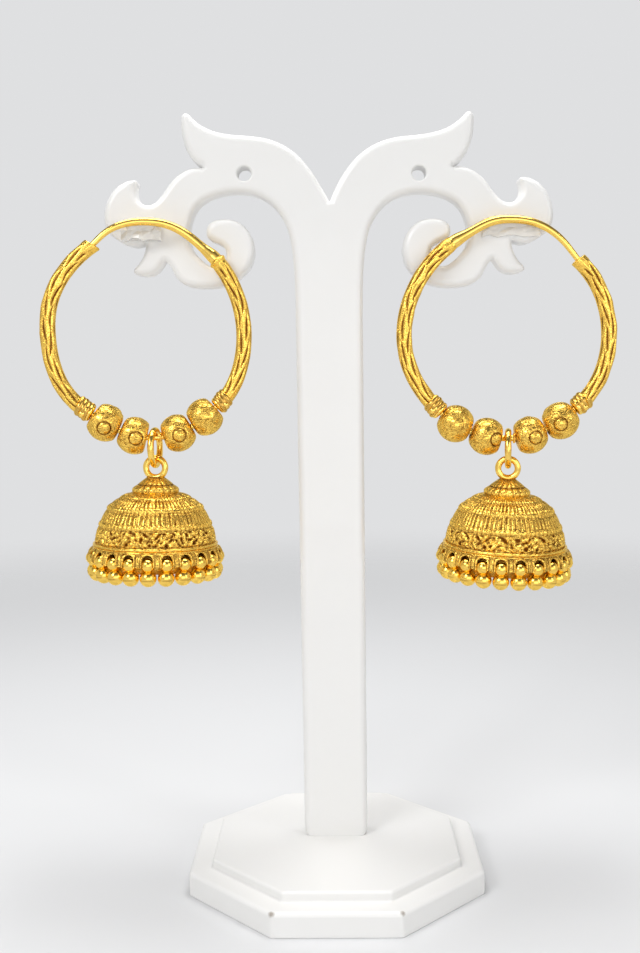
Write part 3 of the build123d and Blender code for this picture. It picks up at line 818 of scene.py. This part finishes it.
def makeHoop(side, e, where, materials):
    values = hoopValues
    node, body = f"{side}_hoop", "stand"
    tubes = [engravedTube(e, "openTube", values, True, e["seed"]),
             engravedTube(e, "closedTube", values, False, e["seed"] + 1)]
    makePiece(f"{side}Tubes", tubes, where, body, node, materials["tubeGold"])
    closedStart = splineThrough(tubeLine(e, "closedTube"), [0.04])
    mouth = splineThrough(tubeLine(e, "openTube"), [0.0, values["mouthDepth"] / 2])
    shares = np.linspace(0, 1, 240)
    line = splineThrough(np.concatenate([closedStart, e["earWire"], mouth]), shares)
    taper = np.array(values["taper"])
    size = np.interp(shares, taper[:, 0], taper[:, 1])
    first, last, lift = e["strand"]
    part = (shares > first) & (shares < last)
    bow = np.sin(np.linspace(0, pi, part.sum()))
    wires = [wirePart(line, size), wirePart(line[part], 0.02 + 0.2 * bow ** 0.6, 12, lift + 0.12 * bow)]
    wires.append(wirePart(beadWireLine(e, e["run"] + values["seated"]), values["beadWire"], 16))
    # a turn of wire beside the bail
    flat, faces, shadeMask = torusPart(values["stopRing"], values["stopWire"], 40, 12, 0.2)
    beside = moved(e["bottom"][0] + e["bailShift"] + values["stopPlace"], 0, e["bottom"][1]) @ turned("Y", 90)
    wires.append((placed(flat, beside), faces, shadeMask))
    makePiece(f"{side}Wires", wires, where, body, node, materials["wireGold"])
    collars = (collarPart(e, "openTube", values, e["seed"])
               + collarPart(e, "closedTube", values, e["seed"] + 1))
    makePiece(f"{side}Collars", collars, where, body, node, materials["wireGold"])


def beadPlaces(e, values):
    # Each bead's angle on the wire, and the reach and lean of its left and right flats.
    inner = degrees(asin(e["beadGap"] / 2 / e["sagRadius"]))
    half = degrees(asin(e["beadStep"] / 2 / e["sagRadius"]))
    outer = inner + 2 * half
    collar = (e["run"] - radians(outer - e["sagAngle"]) * e["sagRadius"] - values["collarLip"], 0)
    bead = (e["beadStep"] / 2 - values["play"], half)
    before, after = e["bailRoom"]
    return [(-outer, (collar, bead)), (-inner, (bead, (before, 0))),
            (inner, ((after, 0), bead)), (outer, (bead, collar))]


def makeBeads(side, e, where, material):
    # A ball cut by a flat at each end: in any direction the smaller of the radius and the way to the flat,
    # rounded where the two are nearly the same by a quadratic; then a bore.
    values = beadValues
    radius, bore, corner = values["radius"], values["bore"], values["corner"]
    b = aroundCircle(values["cols"])
    for number, ((angle, flats), ring) in enumerate(zip(beadPlaces(e, values), e["rings"]), 1):
        ends = [np.arctan2(reach, bore) for reach, _ in flats]
        lean = np.linspace(-ends[0], ends[1], values["rows"])[:, None]
        way = np.stack([np.sin(lean) + 0 * b, np.cos(lean) * np.cos(b), np.cos(lean) * np.sin(b)], -1)
        far = np.full(way.shape[:2], radius)
        for hand, (reach, tip) in zip((-1, 1), flats):
            toFlat = way @ np.array([hand * cos(radians(tip)), 0, sin(radians(tip))])
            cut = reach / np.maximum(toFlat, 1e-3)
            share = np.clip(0.5 + 0.5 * (cut - far) / corner, 0, 1)
            far = share * far + (1 - share) * cut - corner * share * (1 - share)
        points = way * far[..., None]
        spin = turned("Y", -angle - e["tilt"])
        onBall = far > radius * 0.955
        lift, shadeMask = np.zeros(far.shape), np.zeros(far.shape)
        for k in range(3 if ring else 0):  # the ring and dot, and the same again round the bead
            seen = np.array([ring[0], -sqrt(radius ** 2 - ring[0] ** 2 - ring[1] ** 2), ring[1]])
            toward = spin[:3, :3].T @ (turned("Z", -e["turn"])[:3, :3] @ seen)
            spot = turned("X", 120 * k)[:3, :3] @ (toward / np.linalg.norm(toward))
            away = radius * np.arccos(np.clip(way @ spot, -1, 1))
            faint = e["ringStrength"][number - 1]
            line = np.exp(-(((away - values["ringLine"]) / values["ringWidth"]) ** 2))
            dot = np.clip(1 - (away / values["dot"]) ** 2, 0, 1) ** 0.6
            lift += faint * (values["dotRise"] * dot - values["ringDepth"] * line)
            # painted shade in the engraved ring's groove
            shadeMask = np.maximum(shadeMask, faint * np.clip(line * 1.25 - 0.15, 0, 1))
        # engraved veins: thin lines, grooved and with painted shade in them, where slow waves over the ball
        # cross zero
        x, y, z = np.moveaxis(way * values["veinScale"], -1, 0)
        one = np.sin(x * 3.1 + 2 * np.sin(y * 2.3 + number))
        one = one + np.sin(y * 4.3 + 1.7 * np.cos(z * 2.9 + e["seed"])) + np.sin(z * 3.7 + number)
        other = np.sin(z * 4.7 + 2 * np.sin(x * 2.6 + e["seed"])) + np.sin(x * 3.9 + number)
        other = other + np.cos(y * 3.3 + 1.5 * z)
        vein = np.maximum(np.exp(-((one / 0.11) ** 2)), np.exp(-((other / 0.1) ** 2)))
        vein = vein * onBall * (1 - np.clip(shadeMask * 2, 0, 1))
        shadeMask = np.maximum(shadeMask, values["veinShade"] * vein * (np.abs(lift) < 0.06))
        lift -= values["veinDepth"] * vein
        points = points * (1 + lift * onBall / radius)[..., None]
        # one more ring at each end leads into the bore, with painted shade on it
        inside = [points[[i]] * [1, 0.96, 0.96] - [0.03 * np.sign(k), 0, 0] for i, k in ((-1, 1), (0, -1))]
        shadeMask = np.concatenate([shadeMask, np.full((2, len(b)), 0.7)])
        bead = gridPart(np.concatenate([points, *inside]), shadeMask, True, True)
        x, z = sagPoint(e, angle)
        threaded = where @ moved(x, 0, z) @ spin
        makePiece(f"{side}Bead{number}", [bead], threaded, "stand", f"{side}_bead_{number}", material)


bellValues = {
    "wall": 0.5, "wallTop": 8.95, "innerTop": 8.5, "innerRows": 14, "innerShade": 0.55,
    "rows": 96, "ribs": 70, "colsPerRib": 9, "slotDepth": 0.25, "slotTop": 8.9, "edgeLine": 0.85,
    "tiers": [(3.9, 0.42, 0.22), (6.6, 0.38, 0.2), (8.35, 0.3, 0.12)],  # height, half height, rise
    "filigree": (0.95, 3.35), "filigreeDepth": 0.2, "scrolls": 18, "petals": 9,
    "rimWires": [(9.86, 0.55, 0.27), (9.93, 0.12, 0.2)],  # ring, height, wire
    "lining": (9.7, 9.3, 0.3, -3.2),  # outer and inner radius, top, bottom
    "dome": [(3.2, 9.05), (3.6, 8.95), (5.3, 8.3), (6.9, 7.3), (8.05, 5.9), (8.8, 4.4), (9.3, 2.8),
             (9.75, 0.3)],
    "cap": [(1.3, 11.4), (2.2, 10.75), (3.1, 10.0), (3.7, 9.3), (3.7, 8.85)],
    "capTop": 11.45, "capUnder": 8.8, "capRows": 26, "capCols": 288, "fluteDepth": 0.26,
    "skirt": [(9.8, 0.4), (10.55, -0.6), (10.75, -2.0)], "skirtWall": 0.6,
    "fringe": 22, "archHalf": 0.8, "archCentre": -0.95,
    "upperBall": (1.08, 10.15, -1.7), "lowerBall": (1.32, 9.7, -3.8),  # radius, ring, height
}


def bump1(x):
    return np.clip(1 - x ** 2, 0, 1)


def randomWaves(drift, a, z, counts, least, lean):
    # The sum of waves round the dome, each with its own random size, start and lean with the height.
    return sum(drift.uniform(least, 1) * np.sin(k * a + drift.uniform(0, 6) + z * drift.uniform(-lean, lean))
               for k in counts)


def domePart(values, seed):
    # Surface of revolution; relief along its outward normal from ribs, rows of grains and a filigree band.
    # Painted shade lies in the slots between the ribs, under each row of grains, in the filigree's hollows,
    # along the edge line and over the whole inside.
    profile = splineThrough(values["dome"], np.linspace(0, 1, values["rows"]))[::-1]
    slope = np.gradient(profile, axis=0)
    slope /= np.linalg.norm(slope, axis=1)[:, None]
    out = np.stack([slope[:, 1], -slope[:, 0]], 1)
    out *= np.sign(out[5, 0])
    cols = values["ribs"] * values["colsPerRib"]
    a = aroundCircle(cols)[None]
    z = profile[:, 1, None] + 0 * a
    ribs = values["ribs"]
    drift = np.random.default_rng(seed)
    wobble = randomWaves(drift, a, z, (5, 9, 14, 23, 31), 0.3, 1.5) / 3
    patch = randomWaves(drift, a, z, (17, 26, 37, 48), 0.4, 3) / 2.2
    rib = np.abs(np.cos(ribs * a / 2 + 0.35 * wobble)) ** 0.7
    lift = -values["slotDepth"] * (1 - rib) * (0.75 + 0.35 * patch)
    lift = lift * np.clip((values["slotTop"] - z) / 0.4, 0, 1)
    # painted shade in the slots between the ribs, varying at random
    shadeMask = (1 - rib) ** 0.9 * np.clip(0.72 + 0.3 * wobble + 0.35 * patch, 0, 1)
    for height, halfHigh, rise in values["tiers"]:
        grain = bump1((z - height - 0.05 * wobble) / halfHigh)
        bead = 0.3 + (0.45 + 0.2 * patch) * (0.5 + 0.5 * np.cos(ribs * a + 0.8 * wobble))
        lift = lift * (1 - grain) + rise * np.sqrt(grain) * bead
        shadeMask = shadeMask * (1 - np.clip(grain * 1.6, 0, 1)) * np.ones_like(z)
        # painted shade just under each row of grains, with a slight dent
        under = np.exp(-(((z - height + halfHigh + 0.12) / 0.13) ** 2))
        shadeMask = np.maximum(shadeMask, 0.6 * under * (0.6 + 0.4 * wobble))
        lift = lift - 0.07 * under
    low, high = values["filigree"]
    band = np.clip((z - low) / 0.2, 0, 1) * np.clip((high - z) / 0.2, 0, 1)
    turns = values["scrolls"]
    scroll = np.cos(turns * a + 2.1 * np.sin((z - low) * 2.6 + wobble))
    scroll = scroll * np.cos((z - low) * 4.2 + 1.5 * wobble + 6 * np.cos(turns / 2 * a))
    scroll = scroll + 0.7 * np.cos(2 * turns * a + wobble * 2) * np.cos(z * 5 + 2 * patch) + 0.5 * patch
    lift = lift * (1 - band) + band * values["filigreeDepth"] * np.tanh(2.0 * scroll)
    shadeMask = shadeMask * (1 - band) + band * np.clip(-1.1 * scroll, 0, 1)
    # a fine dent along the edge line, with painted shade in it
    edge = np.exp(-(((z - values["edgeLine"]) / 0.1) ** 2))
    shadeMask = np.maximum(shadeMask, 0.7 * edge)
    lift = lift - 0.05 * edge
    r = profile[:, 0, None] + lift * out[:, 0, None]
    h = profile[:, 1, None] + lift * out[:, 1, None]
    thinner = [(x - values["wall"], y - values["wall"] * y / values["wallTop"]) for x, y in values["dome"]]
    inside = splineThrough(thinner, np.linspace(0, 1, values["innerRows"]))
    under = spun(inside[:, 0, None], a, inside[:, 1, None])
    top, low = (np.broadcast_to([0, 0, y], (1, cols, 3)) for y in (values["dome"][0][1], values["innerTop"]))
    points = np.concatenate([low, under, spun(r, a, h), top])
    # painted shade over the whole inside
    plain = np.full((1 + values["innerRows"], cols), values["innerShade"])
    shadeMask = np.concatenate([plain, np.clip(shadeMask, 0, 1), np.zeros((1, cols))])
    return gridPart(points, shadeMask)


def capPart(values):
    # Petals: the rim swells between flutes that sharpen towards it. Painted shade lies in the flutes, at the
    # top, along the crack and under the cap, and less on the swollen rim.
    share = np.linspace(0, 1, values["capRows"])
    profile, share = splineThrough(values["cap"], share), share[:, None]
    cols = values["capCols"]
    a = aroundCircle(cols)[None]
    wave = np.abs(np.cos(values["petals"] * a + 0.5 * share))
    rim = np.exp(-(((share - 0.8) / 0.16) ** 2))
    crack = np.exp(-(((share - 0.56) / 0.035) ** 2))
    lift = -values["fluteDepth"] * share ** 0.7 * (1 - wave ** 0.6) + 0.12 * rim - 0.08 * crack
    r, h = profile[:, 0, None] + lift, profile[:, 1, None] + 0.25 * lift
    flutes = 0.85 * (1 - wave ** 0.45) * (0.35 + 0.65 * share)
    # painted shade in the flutes, at the top and along the crack, less on the swollen rim
    shadeMask = np.clip(flutes + 0.5 * np.exp(-((share / 0.12) ** 2)) - 0.4 * rim + 0.9 * crack, 0, 1)
    top, under = (np.broadcast_to([0, 0, y], (1, cols, 3)) for y in (values["capTop"], values["capUnder"]))
    points = np.concatenate([top, spun(r, a, h), under])
    # painted shade at the top point and more at the point under the cap
    return gridPart(points, np.concatenate([np.full((1, cols), 0.3), shadeMask, np.full((1, cols), 0.8)]))


def skirtParts(values, phase):
    # Each panel runs from the arched opening's edge to the panel's border, outside and then inside:
    # a point is a share of the way between the two lines, laid on the flared skirt.
    step = 2 * pi / values["fringe"]
    line = splineThrough(values["skirt"], np.linspace(0, 1, 40))[::-1]
    low, high = values["skirt"][-1][1], values["skirt"][0][1]
    half, centre = values["archHalf"] / values["skirt"][1][0], values["archCentre"]
    count = 33
    t = np.linspace(-1, 1, count)  # along the arch and its two legs
    bend = np.clip(t / 0.5, -1, 1) * pi / 2
    down = np.clip((np.abs(t) - 0.5) / 0.5, 0, 1)
    height = centre + values["archHalf"] * np.cos(bend) - down * (centre - low)
    arch = np.stack([half * np.sin(bend), height], 1)
    leg = np.where(np.abs(t) < 0.35, 0, (np.abs(t) - 0.35) / 0.65)
    border = np.stack([np.clip(t / 0.35, -1, 1) * step / 2, high - leg * (high - low)], 1)
    shares = np.array([1, 0.85, 0.65, 0.5, 0.38, 0.24, 0.1, 0.0])[:, None, None]
    rim = np.array([0, 0, 0, 0.04, 0.2, 0.28, 0.22, 0.02])
    outer = border[None] * shares + arch[None] * (1 - shares)
    a, z = np.moveaxis(np.concatenate([outer, outer[::-1]]), -1, 0)
    relief = np.concatenate([rim, np.full(8, -values["skirtWall"])])[:, None]
    r = np.interp(z, line[:, 1], line[:, 0]) + relief
    # painted shade in the groove outside the raised rim, at the arch's edge and over the whole inside
    shadeMask = np.concatenate([[0.1, 0.1, 0.3, 0.7, 0.2, 0, 0.1, 0.5], np.full(8, 0.6)])
    shadeMask = np.repeat(shadeMask, count)
    i = np.arange(7)[:, None]  # the panel's two feet are closed between outside and inside
    feet = [np.hstack([i, i + 1, 14 - i, 15 - i])[:, :: 1 if c else -1] * count + c for c in (0, count - 1)]
    faces = np.concatenate([gridFaces(16, count, True, False), *feet])
    parts = []
    for k in range(values["fringe"]):
        panel = spun(r, a + k * step + phase, z).reshape(-1, 3)
        if k == 0:
            faces = facingOut(panel - panel.mean(0), faces)
        parts.append((panel, faces, shadeMask))
    return parts


def makeBell(side, e, where, materials):
    values, link = bellValues, linkValues
    body, node = f"{side}_bell", f"{side}_bell"
    pivot = e["bottom"][1] + hoopValues["beadWire"] + link["gap"] + link["bailWire"] - 2 * link["bailRing"]
    drop = e["loopHeight"] + link["loopRing"] - link["loopWire"] - link["gap"] - link["bailWire"]
    hung = (where @ moved(e["bottom"][0] + e["bailShift"], 0, pivot) @ turned("X", e["bellNod"])
            @ turned("Y", e["bellLean"]) @ turned("Z", e["bailTurn"]) @ moved(0, 0, -drop))
    phase = radians(e["fringePhase"])
    dome = domePart(values, e["seed"])
    turnedToo = hung @ turned("Z", e["fringePhase"])
    makePiece(f"{side}BellDome", [dome], turnedToo, body, node, materials["bellGold"])
    rims = []
    for r, z, wire in values["rimWires"]:
        flat, faces, shadeMask = torusPart(r, wire, 180, 12)
        rims.append((flat + [0, 0, z], faces, shadeMask))
    outside, inside, high, low = values["lining"]  # a plain band behind the fringe
    r, z = np.array([(outside, high), (outside, low), (inside, low), (inside, high)]).T[..., None]
    band = spun(r, aroundCircle(120), z)
    # the band behind the fringe carries painted shade all over
    skirt = skirtParts(values, phase) + rims + [capPart(values), gridPart(band, 0.35, True, True)]
    makePiece(f"{side}BellSkirt", skirt, hung, body, node, materials["bellGold"])
    angles = phase + aroundCircle(values["fringe"])
    balls = []
    for (radius, ring, z), seam in ((values["upperBall"], None), (values["lowerBall"], -0.2)):
        balls += ballParts(spun(ring, angles, z), radius, 30 if seam else 16, 26, seam)
    makePiece(f"{side}BellBalls", balls, hung, body, node, materials["ballGold"])
    flat, faces, shadeMask = torusPart(link["loopRing"], link["loopWire"], 90, 20, 0.06)
    flat = placed(flat, moved(0, 0, e["loopHeight"]) @ turned("X", 90))
    makePiece(f"{side}BellLoop", [(flat, faces, shadeMask)], hung, body, node, materials["wireGold"])
    bail = torusPart(link["bailRing"], link["bailWire"], 120, 22, 0.08)
    threaded = where @ moved(e["bottom"][0] + e["bailShift"], 0, pivot + link["bailRing"])
    threaded = threaded @ turned("Z", e["bailTurn"]) @ turned("Y", 90)
    bodyOfBail, nodeOfBail = f"{side}_bail", f"{side}_bail"
    makePiece(f"{side}BailRing", [bail], threaded, bodyOfBail, nodeOfBail, materials["wireGold"])


tapeValues = {
    "below": 0.5, "height": 2.35, "ragged": 0.6, "rows": 4, "cols": 8, "aside": 0.22, "upDown": 0.16,
    "forward": 0.9, "backForth": 0.45, "slope": 0.35, "thinnest": 0.32,
    "clear": (0.92, 0.905, 0.875, 1), "milky": (0.8, 0.775, 0.72, 1), "alpha": 0.86, "coat": 0.6,
    "creaseScale": 900.0, "smoothest": 0.12, "creaseRoughness": 0.25, "relief": 0.06,
}


def makeTape(side, e, where, values, material):
    # A wad of film: two sheets of flat facets, the front one thrown forward and back at random.
    x0, x1 = e["pad"]
    top = max(z for _, z in e["earWire"]) - values["below"]
    back = (standValues["frontY"] - e["centre"][1]) / cos(radians(e["turn"])) - 0.03
    drift = np.random.default_rng(e["seed"])
    x, z = np.meshgrid(np.linspace(x0 + 0.1, x1 - 0.1, values["cols"]), np.linspace(0, 1, values["rows"]))
    h = top - z * (values["height"] - drift.uniform(0, values["ragged"], values["cols"]))
    inside = (z > 0) & (z < 1)
    notEnd = np.abs(x - (x0 + x1) / 2) < (x1 - x0) / 2 - 0.2
    x = x + drift.uniform(-values["aside"], values["aside"], x.shape) * notEnd
    h = h + drift.uniform(-values["upDown"], values["upDown"], x.shape) * inside
    y = values["forward"] + drift.uniform(-values["backForth"], values["backForth"], x.shape)
    y = y + values["slope"] * z
    front = np.stack([x, np.minimum(y, back - values["thinnest"]), h], -1)
    slab = np.stack([x, np.full(x.shape, back), h], -1)
    sheets = np.concatenate([front, slab[::-1]])
    ends = [np.broadcast_to(sheets[:, k].mean(0), (len(sheets), 1, 3)) for k in (0, -1)]
    wad = gridPart(np.concatenate([ends[0], sheets, ends[1]], 1), None, True, False)
    makePiece(f"{side}Tape", [wad], where, "stand", f"{side}_tape", material, smooth=False)


makeCamera(cameraView)
makeLights()
makeWorld(worldValues)
makeFloor(floorValues)
print("camera, lights and floor ready")

wornGold = wornGoldGroup(wornValues)
golds = {name: goldMaterial(name, wornGold, values) for name, values in goldLooks.items()}
plastic = plasticMaterial("whitePlastic", [], plasticValues)
basePlastic = plasticMaterial("basePlastic", baseValues["stains"], plasticValues)
tape = tapeMaterial(tapeValues)
print("materials ready")

makeBase(baseValues, basePlastic)
makeUpright(standValues, plastic)
print("stand ready")

for side, e in earrings.items():
    where = moved(*e["centre"]) @ turned("Z", e["turn"])
    makeHoop(side, e, where, golds)
    makeBeads(side, e, where, golds["beadGold"])
    makeBell(side, e, where, golds)
    makeTape(side, e, where, tapeValues, tape)
    print(side, "earring ready")

scene.view_settings.view_transform = "Standard"
